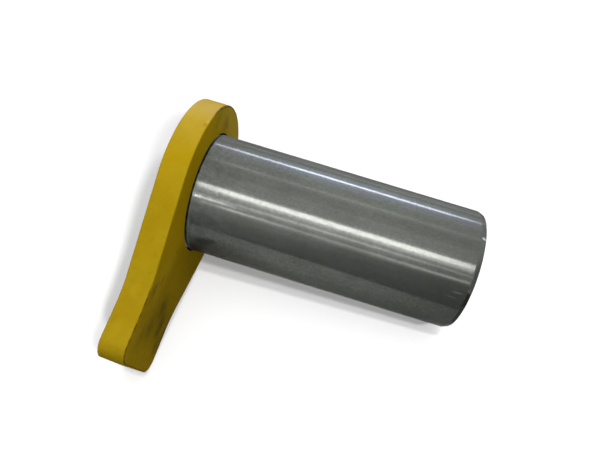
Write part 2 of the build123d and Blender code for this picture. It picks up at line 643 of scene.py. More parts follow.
@dataclass(frozen=True)
class YellowPaint:
    """Chalky yellow paint of the flag plate, with dirt where the part has been handled.

    Each light is how much a pattern brightens the paint, and each satin how much of the shiny lobe
    shows. The fades run over a pattern, along the tail from the pin's axis or to the tail's upper
    side, those of the edge along the pin in radii of the edge, and those of the mouth and the
    margin out from the bore's mouth and the head's rim.
    """

    colour: Colour = (0.51, 0.335, 0.0045)
    pale: Colour = (0.55, 0.375, 0.010)
    ochre: Colour = (0.47, 0.285, 0.0035)
    greyer_yellow: Colour = (0.49, 0.36, 0.052)
    grime_and_shade: Colour = (0.012, 0.011, 0.007)
    soot: Colour = (0.11, 0.092, 0.012)
    worn: Colour = (0.055, 0.035, 0.007)
    chip: Colour = (0.66, 0.55, 0.18)
    bruise: Colour = (0.48, 0.24, 0.004)
    brightness: float = 0.97
    speck_light: float = 0.14
    blotch_light: float = 0.1
    face_ochre: float = 0.45
    streak_fray: float = 4.0
    speck_fray: float = 1.5
    least_handled: float = 0.55
    least_worn: float = 0.5
    speck_wear: float = 0.6
    worn_cover: float = 0.85
    margin_cover: float = 0.8
    speck_strength: float = 0.1
    speck_depth: float = 0.15 * MM
    matte_roughness: float = 0.8
    satin_roughness: float = 0.42
    satin_index: float = 1.36
    face_satin: float = 0.04
    rim_satin: float = 0.02

    CLOUDS = Grain((22 * MM, 22 * MM, 22 * MM), 3.0, 0.5, seed=2.0)
    BLOTCHES = Grain((4 * MM, 4 * MM, 4 * MM), 3.0, 0.6, seed=5.0)
    SPECKS = Grain((1.3 * MM, 1.3 * MM, 1.3 * MM), 2.0, 0.6, seed=8.0)
    STREAKS = Grain((4 * MM, 6 * MM, 2.8 * MM), 5.0, 0.72, seed=6.0)

    BELOW_FACE = Fade(0.2 * MM, 0.8 * MM)
    # Near black in the bore's mouth: painted shade of the gap round the pin, with dirt.
    IN_MOUTH = Fade(0.1 * MM, -0.5 * MM)
    PAST_MOUTH = Fade(0.5 * MM, 2 * MM)
    PALE_CLOUDS = Fade(0.35, 0.7)
    OCHRE_BLOTCHES = Fade(0.5, 0.75, 0.7)
    # The faces paler and greyer towards the head.
    PALER_HEAD_FACE = Fade(-25 * MM, -60 * MM, 0.55)
    # Painted light: the faces lighter towards the head and more at its far side, and the rim lighter towards
    # the head.
    PAINTED_LIGHT_HEAD = Fade(50 * MM, -50 * MM, 0.22)
    PAINTED_LIGHT_HEAD_BACK = Fade(-50 * MM, -62 * MM, 0.17)
    PAINTED_LIGHT_RIM = Fade(60 * MM, 5 * MM, 0.13)
    # Painted shade: the paint darker towards the tail's end, and on the faces below the pin.
    PAINTED_SHADE_TAIL = Fade(82 * MM, 112 * MM, 0.1)
    PAINTED_SHADE_LOWER_SIDE = Fade(28 * MM, 6 * MM, 0.24)
    PAST_HEAD = Fade(40 * MM, 60 * MM)
    SHORT_OF_TAIL = Fade(142 * MM, 120 * MM)
    HANDLED_TAIL = Fade(70 * MM, 112 * MM)
    HANDLED_SIDE = Fade(20 * MM, -20 * MM, 0.45)
    HANDLED_STREAKS = Fade(0.42, 0.72, 0.6)
    WORN_PATCHES = Fade(0.6, 0.9, 0.5)
    WORN_TAIL = Fade(92 * MM, 108 * MM)
    BEHIND_HEAD = Fade(-28 * MM, -42 * MM)
    HEAD_MARGIN = Fade(-2.2 * MM, -1.2 * MM)
    INNER_FACE = Fade(-0.5 * MM, -0.2 * MM)
    EDGE_START = Fade(-0.02, -0.2)
    EDGE_END = Fade(-1.25, -0.75)
    SATIN_FRONT = Fade(12 * MM, -32 * MM, 0.9)
    MATTE_TOP = Fade(-37 * MM, -58 * MM, 0.62)

    SMUDGES = Marks(
        (
            Spot(0, 99, 33, (3, 9, 5), 0.5),
            Spot(0, 89, 25, (3, 6, 3), 0.35),
            Spot(0, 103, -5, (3, 11, 10), 0.7),
            Spot(0, 114, -17, (3, 13, 8), 0.85),
            Spot(0, 121, 8, (3, 12, 8), 0.5),
            Spot(0, 129, 20, (3, 12, 6), 0.4),
            Spot(0, 131, -27, (3, 10, 7), 0.6),
            Spot(0, 122, -36, (3, 20, 5), 0.85),
            Spot(0, 62, 18, (2, 1.5, 1.5), 0.5),
            Spot(0, -38, 53, (3, 9, 7), 0.25),
            Spot(0, -50, 31, (3, 9, 9), 0.35),
            Spot(-9.5, 114, 39, (0.9, 0.9, 2), 0.35),
            Spot(-13.5, 98.5, 41.5, (2.5, 4, 4), 0.12),
            Spot(-16.5, 126.5, 39, (2, 4, 3), 0.15),
        ),
        fray=1.0,
        core=0.1,
    )
    PALE_PATCHES = Marks(
        (
            Spot(-11, 102, 40, (6, 9, 5), 0.6),
            Spot(-9, 84, 47, (6, 10, 5), 0.5),
            Spot(-13, 132, 39, (5, 9, 3), 0.45),
            Spot(-6, 20, 71, (5, 14, 5), 0.4),
        ),
        fray=0.5,
        core=0.0,
    )
    BRUISES = Marks(
        (
            Spot(-2.0, -20.4, 71.1, (1.4, 2.6, 3), 0.7),
            Spot(-5.0, 144.7, 37.7, (5, 0.8, 2), 0.3),
            Spot(-9.8, 143.5, 38.2, (6, 0.7, 2), 0.25),
        ),
        fray=0.3,
        core=0.4,
    )
    CHIPS = Marks((Spot(-1.3, -24.1, 70.0, (0.8, 1.5, 2), 0.8),), fray=0.2, core=0.4)

    def build(self, bench: Bench, plate: "FlagPlate") -> bpy.types.Material:
        """Builds the material.

        Args:
            bench: The part's directions.
            plate: The plate, for the places of its edges.

        Returns:
            The material.
        """
        material, graph = new_material("yellow_paint")
        over = self._survey(graph, bench, plate)
        mouth = self.IN_MOUTH.over(over.radius - plate.mouth_radius)
        body = self._dirty(graph, over, self._clean(graph, over))
        patches = self.least_worn + self.WORN_PATCHES.over(over.blotches + self.speck_wear * over.specks)
        edge = self._darkened_edges(over, plate) * patches
        body = graph.mix(edge * self.worn_cover, body, self.worn)
        # Painted shade of the gap in the bore's mouth, with dirt.
        body = graph.mix(mouth, body, self.grime_and_shade)
        paint = {"Base Color": body, "Normal": graph.bump(self.speck_strength, self.speck_depth, over.specks)}
        matte = {"Roughness": self.matte_roughness, "Specular IOR Level": 0.0}
        satin = {"Roughness": self.satin_roughness, "IOR": self.satin_index}
        dull = graph.shader("ShaderNodeBsdfPrincipled", {**paint, **matte})
        shiny = graph.shader("ShaderNodeBsdfPrincipled", {**paint, **satin})
        front = self.rim_satin + self.SATIN_FRONT.over(over.tail) - self.MATTE_TOP.over(over.tail)
        share = (self.face_satin + over.rim * front) * (1.0 - mouth)
        graph.finish(graph.shader("ShaderNodeMixShader", {0: share, 1: dull, 2: shiny}))
        return material

    def _survey(self, graph: Graph, bench: Bench, plate: "FlagPlate") -> PlateSurface:
        """Returns what the paint follows over the plate.

        Args:
            graph: The material's builder.
            bench: The part's directions.
            plate: The plate.

        Returns:
            The signals.
        """
        place = graph.place(bench.plate_turn)
        along, uphill, side = graph.parts(place)
        tail = -uphill
        rim = self.BELOW_FACE.over(-along) * self.BELOW_FACE.over(along + plate.thickness)
        return PlateSurface(
            place,
            along,
            tail,
            side,
            radius=(tail * tail + side * side).plain("SQRT"),
            rim=rim,
            face=1.0 - rim,
            blotches=self.BLOTCHES.over(graph, place),
            specks=self.SPECKS.over(graph, place),
            streaks=self.STREAKS.over(graph, place),
        )

    def _clean(self, graph: Graph, over: PlateSurface) -> bpy.types.NodeSocket:
        """Returns the paint's colour without dirt: uneven, with painted light towards the head, painted shade
        towards the tail's end and on the faces' lower side, and paler and greyer on the faces at the head.

        Args:
            graph: The material's builder.
            over: What the paint follows.

        Returns:
            A colour link.
        """
        tail, face = over.tail, over.face
        clouds = self.CLOUDS.over(graph, over.place)
        body = graph.mix(self.PALE_CLOUDS.over(clouds), self.colour, self.pale)
        body = graph.mix(self.OCHRE_BLOTCHES.over(over.blotches), body, self.ochre)
        body = graph.mix(face * self.face_ochre, body, self.ochre)
        body = graph.mix(face * self.PALER_HEAD_FACE.over(tail), body, self.greyer_yellow)
        # Painted shade on the faces' lower side along the tail.
        low = self.PAINTED_SHADE_LOWER_SIDE.over(over.side) * self.PAST_HEAD.over(tail) * self.SHORT_OF_TAIL.over(tail)
        bright = self.brightness + self.speck_light * (over.specks - PATTERN_MEAN)
        bright = bright + self.blotch_light * (over.blotches - PATTERN_MEAN)
        # Painted light on the faces towards the head, less the painted shade of their lower side.
        bright = bright + face * (self.PAINTED_LIGHT_HEAD.over(tail) + self.PAINTED_LIGHT_HEAD_BACK.over(tail) - low)
        # Painted light on the rim towards the head, and painted shade towards the tail's end.
        bright = bright + over.rim * self.PAINTED_LIGHT_RIM.over(tail) - self.PAINTED_SHADE_TAIL.over(tail)
        return graph.tint(body, bright)

    def _dirty(self, graph: Graph, over: PlateSurface, body: bpy.types.NodeSocket) -> bpy.types.NodeSocket:
        """Returns the paint's colour with its marks and with the dirt where it has been handled.

        Args:
            graph: The material's builder.
            over: What the paint follows.
            body: The clean paint's colour.

        Returns:
            A colour link.
        """
        ragged = (over.streaks - PATTERN_MEAN) * self.streak_fray
        ragged = ragged + (over.specks - PATTERN_MEAN) * self.speck_fray
        layers = (
            (self.SMUDGES, self.soot),
            (self.PALE_PATCHES, self.pale),
            (self.BRUISES, self.bruise),
            (self.CHIPS, self.chip),
        )
        for marks, colour in layers:
            body = graph.mix(marks.mask(graph, over.place, ragged), body, colour)
        lower = self.least_handled + self.HANDLED_SIDE.over(over.side)
        handled = over.face * self.HANDLED_TAIL.over(over.tail) * lower
        return graph.mix(handled * self.HANDLED_STREAKS.over(over.streaks), body, self.soot)

    def _darkened_edges(self, over: PlateSurface, plate: "FlagPlate") -> Signal:
        """Returns where the inner face's edge is darkened: by worn paint at the tail, and along the edge and
        a margin of the face behind the head.

        Args:
            over: What the paint follows.
            plate: The plate.

        Returns:
            A mask.
        """
        depth = over.along / plate.edge
        rounded = self.EDGE_START.over(depth) * self.EDGE_END.over(depth)
        outside = self.PAST_MOUTH.over(over.radius - plate.mouth_radius)
        behind = self.BEHIND_HEAD.over(over.tail)
        margin = self.INNER_FACE.over(over.along) * self.HEAD_MARGIN.over(over.radius - plate.head)
        worn = rounded * outside * (self.WORN_TAIL.over(over.tail) + behind)
        return worn.larger(margin * behind * self.margin_cover)


@dataclass(frozen=True)
class PaintedWeld:
    """The same paint over weld metal, thin on the ripples and darker between them: dirt, and painted shade in
    the creases.
    """

    colour: Colour = (0.48, 0.32, 0.0065)
    grime_and_shade: Colour = (0.09, 0.07, 0.012)
    roughness: float = 0.6
    gloss: float = 0.25
    spatter_strength: float = 0.3
    spatter_depth: float = 0.2 * MM

    CLOUDS = Grain((7 * MM, 7 * MM, 7 * MM), 4.0, 0.6)
    SPATTER = Grain((0.8 * MM, 0.8 * MM, 0.8 * MM), 2.0, 0.6)
    DIRTY_SHADED_VALLEYS = Fade(0.55, 0.05, 0.7)
    DIRTY_CLOUDS = Fade(0.3, 0.6)

    def build(self, bench: Bench) -> bpy.types.Material:
        """Builds the material.

        Args:
            bench: The part's directions.

        Returns:
            The material.
        """
        material, graph = new_material("painted_weld")
        place = graph.place(bench.plate_turn)
        ripple = graph.signal("ShaderNodeAttribute", {"attribute_name": TurnedTree.RIPPLE}, None, "Fac")
        # Darker in the valleys between ripples where the clouds allow: dirt, and painted shade in the
        # creases.
        dirt = self.DIRTY_SHADED_VALLEYS.over(ripple) * self.DIRTY_CLOUDS.over(self.CLOUDS.over(graph, place))
        spatter = self.SPATTER.over(graph, place)
        shader = {
            "Base Color": graph.mix(dirt, self.colour, self.grime_and_shade),
            "Roughness": self.roughness,
            "Specular IOR Level": self.gloss,
            "Normal": graph.bump(self.spatter_strength, self.spatter_depth, spatter),
        }
        graph.finish(graph.shader("ShaderNodeBsdfPrincipled", shader))
        return material


@dataclass(frozen=True)
class Corner:
    """A corner of a turned profile.

    Attributes:
        along: Its distance along the pin from the plate's inner face.
        radius: Its distance from the pin's axis.
        blend: The radius of the round that breaks it.
    """

    along: float
    radius: float
    blend: float = 0.0


class Profile:
    """A turned profile: straight runs between corners that may be broken by rounds.

    Attributes:
        ARC_STEPS: How many runs a round is made of.
        SUPPORT: How far beyond a round its support points are, as a share of its setback.
    """

    ARC_STEPS = 5
    SUPPORT = 0.6

    def __init__(self, corners: Sequence[Corner], closed: bool = False) -> None:
        """Keeps the corners in order.

        Args:
            corners: The profile's corners.
            closed: Whether the last corner joins the first.
        """
        self.corners = list(corners)
        self.closed = closed

    def points(self) -> list[Pair]:
        """Returns the profile's points, with each round as an arc between two support points."""
        made: list[Pair] = []
        count = len(self.corners)
        for index, corner in enumerate(self.corners):
            at = Vector((corner.along, corner.radius))
            ends = not self.closed and index in (0, count - 1)
            if ends or corner.blend == 0.0:
                made.append(tuple(at))
                continue
            before = self.corners[index - 1]
            after = self.corners[(index + 1) % count]
            back = (Vector((before.along, before.radius)) - at).normalized()
            ahead = (Vector((after.along, after.radius)) - at).normalized()
            made += self._arc(at, back, ahead, corner.blend)
        return made

    def _arc(self, at: Vector, back: Vector, ahead: Vector, blend: float) -> list[Pair]:
        """Returns a round of a corner, with its support points on the runs beside it.

        Args:
            at: The sharp corner.
            back: The direction of the run before it.
            ahead: The direction of the run after it.
            blend: The round's radius.

        Returns:
            The round's points.
        """
        half = back.angle(ahead) / 2
        setback = blend / math.tan(half)
        centre = at + (back + ahead).normalized() * (blend / math.sin(half))
        first = (at + back * setback - centre).normalized()
        last = (at + ahead * setback - centre).normalized()
        made = [at + back * setback * (1 + self.SUPPORT)]
        for step in range(self.ARC_STEPS + 1):
            share = step / self.ARC_STEPS
            made.append(centre + first.slerp(last, share) * blend)
        made.append(at + ahead * setback * (1 + self.SUPPORT))
        return [tuple(point) for point in made]


class TurnedTree:
    """Geometry Nodes group that turns a profile about the pin's axis.

    The profile's points carry their distance along the pin, their radius and, as the third number,
    how much of the weld ripple they take.

    Attributes:
        NAME: The group's name.
        RIPPLE: The attribute that tells a material how high the ripple is.
        DRIFT: The pattern that makes the bead wander.
        LEAN: How far a ripple is bent forwards in its middle, in ripples.
        STRAY: How far the drift moves a ripple, in ripples.
        MERGE: How close points are that are joined at the seam and the poles.
    """

    NAME = "turned_surface"
    RIPPLE = "ripple"
    DRIFT = Grain((0.12, 0.12, 1.0), 2.0)
    LEAN = 0.9
    STRAY = 1.4
    MERGE = 0.002 * MM

    def __init__(self) -> None:
        """Builds the group."""
        self.group = bpy.data.node_groups.new(self.NAME, "GeometryNodeTree")
        graph = Graph(self.group)
        self.sockets: dict[str, str] = {}
        self._socket("Profile", "INPUT", "NodeSocketGeometry")
        self._socket("Segments", "INPUT", "NodeSocketInt")
        self._socket("Ripples", "INPUT", "NodeSocketInt")
        self._socket("Ripple Height", "INPUT", "NodeSocketFloat")
        self._socket("Wander", "INPUT", "NodeSocketFloat")
        self._socket("Seed", "INPUT", "NodeSocketFloat")
        self._socket("Material", "INPUT", "NodeSocketMaterial")
        self._socket("Surface", "OUTPUT", "NodeSocketGeometry")
        self._fill(graph)

    def _socket(self, name: str, direction: str, kind: str) -> None:
        """Adds a named input or output and keeps its identifier."""
        made = self.group.interface.new_socket(name, in_out=direction, socket_type=kind)
        self.sockets[name] = made.identifier

    def _fill(self, graph: Graph) -> None:
        """Adds the group's nodes.

        Args:
            graph: The group's builder.
        """
        given = graph.node("NodeGroupInput").outputs
        count = graph.signal("GeometryNodeAttributeDomainSize", None, {0: given["Profile"]})
        segments = Signal(graph, given["Segments"])
        rows = {"Vertices X": segments + 1.0, "Vertices Y": count}
        grid = graph.node("GeometryNodeMeshGrid", None, rows).outputs["Mesh"]
        index = graph.signal("GeometryNodeInputIndex")
        ring = (index / count).plain("FLOOR")
        settings = {"data_type": "FLOAT_VECTOR", "domain": "POINT"}
        position = graph.node("GeometryNodeInputPosition").outputs[0]
        sample = {"Geometry": given["Profile"], "Value": position, "Index": index - ring * count}
        along, radius, share = graph.parts(graph.node("GeometryNodeSampleIndex", settings, sample).outputs[0])
        angle = ring / segments * (2 * math.pi)
        sine, cosine = angle.plain("SINE"), angle.plain("COSINE")
        around = graph.vector(cosine, sine, Signal(graph, given["Seed"]))
        drift = self.DRIFT.over(graph, around) - PATTERN_MEAN
        phase = ring * Signal(graph, given["Ripples"]) / segments + share * self.LEAN + drift * self.STRAY
        ripple = (phase * math.pi).plain("SINE").plain("ABSOLUTE")
        wander = share * drift * Signal(graph, given["Wander"])
        lift = share * ripple * Signal(graph, given["Ripple Height"]) + wander
        wide = radius + wander
        spot = graph.vector(along - lift, -(wide * sine), wide * cosine)
        turned = graph.node("GeometryNodeSetPosition", None, {"Geometry": grid, "Position": spot}).outputs[0]
        kept = {"Geometry": turned, "Name": self.RIPPLE, "Value": ripple}
        stored = graph.node("GeometryNodeStoreNamedAttribute", {"data_type": "FLOAT"}, kept).outputs[0]
        joined = {"Geometry": stored, "Distance": self.MERGE}
        closed = graph.node("GeometryNodeMergeByDistance", None, joined).outputs[0]
        smooth = graph.node("GeometryNodeSetShadeSmooth", None, {"Geometry": closed}).outputs[0]
        real = graph.node("GeometryNodeRealizeInstances", None, {0: smooth}).outputs[0]
        dressed = {"Geometry": real, "Material": given["Material"]}
        final = graph.node("GeometryNodeSetMaterial", None, dressed).outputs[0]
        graph.node("NodeGroupOutput", None, {0: final})

    def turn(
        self,
        name: str,
        profile: Sequence[tuple[float, float, float]],
        closed: bool,
        values: Mapping[str, object],
        rest: Matrix,
    ) -> bpy.types.Object:
        """Turns a profile into a plain mesh that lies where the part rests.

        Args:
            name: The piece's name.
            profile: The profile's points: along the pin, radius and share of the ripple.
            closed: Whether the last point joins the first.
            values: The group's inputs by name.
            rest: Turns a point of the pin's frame into the resting frame.

        Returns:
            The piece, at the origin.
        """
        line = bpy.data.meshes.new(name + "_profile")
        points = [*profile, profile[0]] if closed else list(profile)
        line.from_pydata(points, [], [])
        carrier = bpy.data.objects.new(name + "_profile", line)
        bpy.context.scene.collection.objects.link(carrier)
        modifier = carrier.modifiers.new("turned", "NODES")
        modifier.node_group = self.group
        for key, value in values.items():
            modifier[self.sockets[key]] = value
        bpy.context.view_layer.update()
        depsgraph = bpy.context.evaluated_depsgraph_get()
        mesh = bpy.data.meshes.new_from_object(carrier.evaluated_get(depsgraph))
        bpy.data.objects.remove(carrier)
        mesh.transform(rest.to_4x4())
        return finished_piece(name, mesh)


def finished_piece(name: str, mesh: bpy.types.Mesh) -> bpy.types.Object:
    """Makes an object at the origin of a mesh, with its faces turned outwards.

    Args:
        name: The piece's name.
        mesh: Its mesh, in the resting frame.

    Returns:
        The object.
    """
    shape = bmesh.new()
    shape.from_mesh(mesh)
    bmesh.ops.recalc_face_normals(shape, faces=shape.faces)
    shape.to_mesh(mesh)
    shape.free()
    mesh.name = name
    piece = bpy.data.objects.new(name, mesh)
    bpy.context.scene.collection.objects.link(piece)
    return piece


@dataclass
class PinShaft:
    """The turned pin, with a lathe centre in each end.

    Attributes:
        radius: The journal's radius.
        reach: How far the pin reaches from the plate's inner face.
        lead_in: The length of the chamfer at the free end.
        lead_in_depth: Its depth on the radius.
        relief: How much the seat in the plate is turned down, on the radius.
        centre_mouth: The radius of a centre's mouth.
        centre_pilot: The radius of its straight part.
        centre_pilot_depth: The length of its straight part.
        centre_slope: Half the angle of its cone, in degrees.
        drill_slope: Half the angle of its point.
        centre_break: The round of its mouth.
        pilot_break: The round at both ends of its straight part.
        shoulder_break: The round of the journal's end at the plate.
        journal_break: The round between the journal and the lead-in.
        edge_break: The round of the free end's edge.
        segments: How many runs go round the pin.
    """

    radius: float = 50 * MM
    reach: float = 221 * MM
    lead_in: float = 4 * MM
    lead_in_depth: float = 1.5 * MM
    relief: float = 1 * MM
    centre_mouth: float = 6.6 * MM
    centre_pilot: float = 3.15 * MM
    centre_pilot_depth: float = 5 * MM
    centre_slope: float = 30.0
    drill_slope: float = 59.0
    centre_break: float = 0.2 * MM
    pilot_break: float = 0.1 * MM
    shoulder_break: float = 0.2 * MM
    journal_break: float = 1.4 * MM
    edge_break: float = 0.35 * MM
    segments: int = 384

    def _centre(self, face: float, inward: float) -> list[Corner]:
        """Returns a lathe centre's corners, from its mouth to its point.

        Args:
            face: Where along the pin the end face is.
            inward: -1 where the centre is sunk towards the plate, and 1 the other way.

        Returns:
            The corners.
        """
        cone = (self.centre_mouth - self.centre_pilot) / math.tan(math.radians(self.centre_slope))
        deep = cone + self.centre_pilot_depth
        tip = deep + self.centre_pilot / math.tan(math.radians(self.drill_slope))
        return [
            Corner(face, self.centre_mouth, self.centre_break),
            Corner(face + inward * cone, self.centre_pilot, self.pilot_break),
            Corner(face + inward * deep, self.centre_pilot, self.pilot_break),
            Corner(face + inward * tip, 0.0),
        ]

    def build(self, turned: TurnedTree, bench: Bench, plate: "FlagPlate") -> bpy.types.Object:
        """Builds the pin's mesh.

        Args:
            turned: The group that turns a profile.
            bench: The part's directions.
            plate: The plate that the pin stands through.

        Returns:
            The pin.
        """
        seat = self.radius - self.relief
        corners = [
            *reversed(self._centre(-plate.thickness, 1.0)),
            Corner(-plate.thickness, seat - plate.groove),
            Corner(plate.groove - plate.thickness, seat),
            Corner(0.0, seat),
            Corner(0.0, self.radius, self.shoulder_break),
            Corner(self.reach - self.lead_in, self.radius, self.journal_break),
            Corner(self.reach, self.radius - self.lead_in_depth, self.edge_break),
            *self._centre(self.reach, -1.0),
        ]
        profile = [(along, radius, 0.0) for along, radius in Profile(corners).points()]
        values = {"Segments": self.segments}
        return turned.turn("ground_pin", profile, False, values, bench.pin_turn.transposed())

    def dress(self, piece: bpy.types.Object, steel: bpy.types.Material) -> None:
        """Gives the pin its finish and its place in the frame."""
        piece.data.materials.clear()
        piece.data.materials.append(steel)
        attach(piece, "root")
        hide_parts("pin_shaft")


@dataclass
class FlagPlate:
    """The keyhole-shaped plate, with a rounded edge at both faces and the bore for the pin.

    Attributes:
        thickness: The plate's thickness.
        head: The radius of its round head.
        tail_reach: How far the tail reaches from the pin's axis.
        tail_half_width: Half the tail's width.
        tail_side: The tail's straight side, from the sharp corner of the neck to its end.
        tail_corner: The radius of the tail's corners.
        neck: The radius of the blends between the flanks and the tail.
        edge: The radius of the edge at both faces.
        edge_support: How far beyond an edge's round its support rings are.
        bore_radius: The radius of the bore.
        mouth_radius: The radius of the bore's chamfer at the inner face.
        groove: The depth and width of the weld's groove.
        groove_break: The round of the groove's edge.
        bore_break: The round of the edges inside the bore.
        mouth_break: The round of the mouth's edge.
        edge_steps: How many runs an edge's round is made of.
        face_steps: How many runs a flat face is made of.
        least_arc_steps: How many runs an arc of the outline has at least.
        step_angle: The angle that a run of the outline spans, as seen from the pin's axis.
        step_slack: The share of a step by which a run may be longer.
    """

    thickness: float = 20 * MM
    head: float = 74 * MM
    tail_reach: float = 152 * MM
    tail_half_width: float = 39 * MM
    tail_side: float = 47 * MM
    tail_corner: float = 13 * MM
    neck: float = 65 * MM
    edge: float = 1 * MM
    edge_support: float = 0.35 * MM
    bore_radius: float = 49.1 * MM
    mouth_radius: float = 51.4 * MM
    groove: float = 6 * MM
    groove_break: float = 0.3 * MM
    bore_break: float = 0.2 * MM
    mouth_break: float = 0.25 * MM
    edge_steps: int = 5
    face_steps: int = 5
    least_arc_steps: int = 10
    step_angle: float = math.radians(1.2)
    step_slack: float = 0.1

    def outline(self) -> Outline:
        """Returns the outline once round from the tail's end, as points with outward directions."""
        neck_corner = self.tail_reach - self.tail_side
        corner_angle = math.atan2(self.tail_half_width, neck_corner)
        lean = math.acos(self.head / math.hypot(neck_corner, self.tail_half_width))
        tangent = corner_angle + lean
        slope = math.pi / 2 - tangent
        setback = self.neck * math.tan(slope / 2)
        corner = self.tail_corner
        corner_centre = Vector((self.tail_reach - corner, self.tail_half_width - corner))
        neck_centre = Vector((neck_corner + setback, self.tail_half_width + self.neck))
        upper = self._arc(corner_centre, corner, 0.0, math.pi / 2, 1.0)
        upper += self._arc(neck_centre, self.neck, -math.pi / 2, -math.pi / 2 - slope, -1.0)
        upper += self._arc(Vector((0.0, 0.0)), self.head, tangent, math.pi, 1.0)
        upper = self._filled(upper)
        lower = [(Vector((p.x, -p.y)), Vector((d.x, -d.y))) for p, d in reversed(upper[:-1])]
        end = self._filled([lower[-1], upper[0]])[1:-1]
        return upper + lower + end

    def _arc(self, centre: Vector, radius: float, start: float, stop: float, out: float) -> Outline:
        """Returns an arc of the outline.

        Args:
            centre: The arc's centre.
            radius: Its radius.
            start: The angle at which it starts.
            stop: The angle at which it ends.
            out: 1 where the outside lies away from the centre, and -1 where it lies towards it.

        Returns:
            The arc's points with their outward directions.
        """
        steps = max(self.least_arc_steps, round(abs(stop - start) / self.step_angle))
        made = []
        for step in range(steps + 1):
            angle = start + (stop - start) * step / steps
            ray = Vector((math.cos(angle), math.sin(angle)))
            made.append((centre + ray * radius, ray * out))
        return made

    def _filled(self, points: Outline) -> Outline:
        """Divides the straight runs, so that the bore opposite them stays round.

        Args:
            points: Points of the outline with their outward directions.

        Returns:
            The points, with more of them on the long runs.
        """
        made = [points[0]]
        for (last, _), (point, out) in zip(points, points[1:]):
            turn = abs(math.atan2(last.cross(point), last.dot(point)))
            pieces = max(1, math.ceil(turn / self.step_angle - self.step_slack))
            for piece in range(1, pieces):
                made.append((last.lerp(point, piece / pieces), out))
            made.append((point, out))
        return made

    def _rim_rings(self) -> list[Pair]:
        """Returns the rings round the outline, from the inner face to the outer: along the pin and inset."""
        rings = [(0.0, self.edge + self.edge_support)]
        for step in range(self.edge_steps + 1):
            angle = math.pi / 2 * step / self.edge_steps
            rings.append((-self.edge * (1 - math.cos(angle)), self.edge * (1 - math.sin(angle))))
        rings.append((-self.edge - self.edge_support, 0.0))
        rings.append((-self.thickness / 2, 0.0))
        back = [(-self.thickness - along, inset) for along, inset in reversed(rings[:-1])]
        return rings + back

    def build(self, bench: Bench) -> bpy.types.Object:
        """Builds the plate's mesh.

        Args:
            bench: The part's directions.

        Returns:
            The plate.
        """
        outline = self.outline()
        rays = [point.normalized() for point, _ in outline]
        bore = Profile(
            [
                Corner(-self.thickness, self.bore_radius + self.groove, self.groove_break),
                Corner(self.groove - self.thickness, self.bore_radius, self.bore_break),
                Corner(self.bore_radius - self.mouth_radius, self.bore_radius, self.bore_break),
                Corner(0.0, self.mouth_radius, self.mouth_break),
                Corner(0.0, self.head),
                Corner(-self.thickness, self.head),
            ],
            closed=True,
        ).points()[:-2]
        rings = [(along, [ray * radius for ray in rays]) for along, radius in bore]
        rim = []
        for along, inset in self._rim_rings():
            rim.append((along, [point - out * inset for point, out in outline]))
        rings += self._across(rings[-1], rim[0]) + rim
        rings += self._across(rim[-1], rings[0])
        vertices = []
        for along, ring in rings:
            vertices += [bench.along * along + bench.tail * p.x + bench.side * p.y for p in ring]
        count, loops = len(outline), len(rings)
        faces = []
        for loop in range(loops):
            here, above = loop * count, (loop + 1) % loops * count
            for step in range(count):
                ahead = (step + 1) % count
                faces.append((here + step, here + ahead, above + ahead, above + step))
        mesh = bpy.data.meshes.new("painted_plate")
        mesh.from_pydata(vertices, [], faces)
        mesh.shade_smooth()
        return finished_piece("painted_plate", mesh)

    def _across(self, start: Ring, stop: Ring) -> list[Ring]:
        """Returns rings over a flat face between two rings.

        Args:
            start: The ring that the face starts at.
            stop: The ring that it ends at.

        Returns:
            The rings between them.
        """
        shares = [step / self.face_steps for step in range(1, self.face_steps)]
        return [(start[0], [a.lerp(b, share) for a, b in zip(start[1], stop[1])]) for share in shares]

    def dress(self, piece: bpy.types.Object, paint: bpy.types.Material) -> None:
        """Gives the plate its finish and its place in the frame, and keeps it out of reflections."""
        piece.data.materials.append(paint)
        piece.visible_glossy = False
        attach(piece, "root")
        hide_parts("flag_plate")


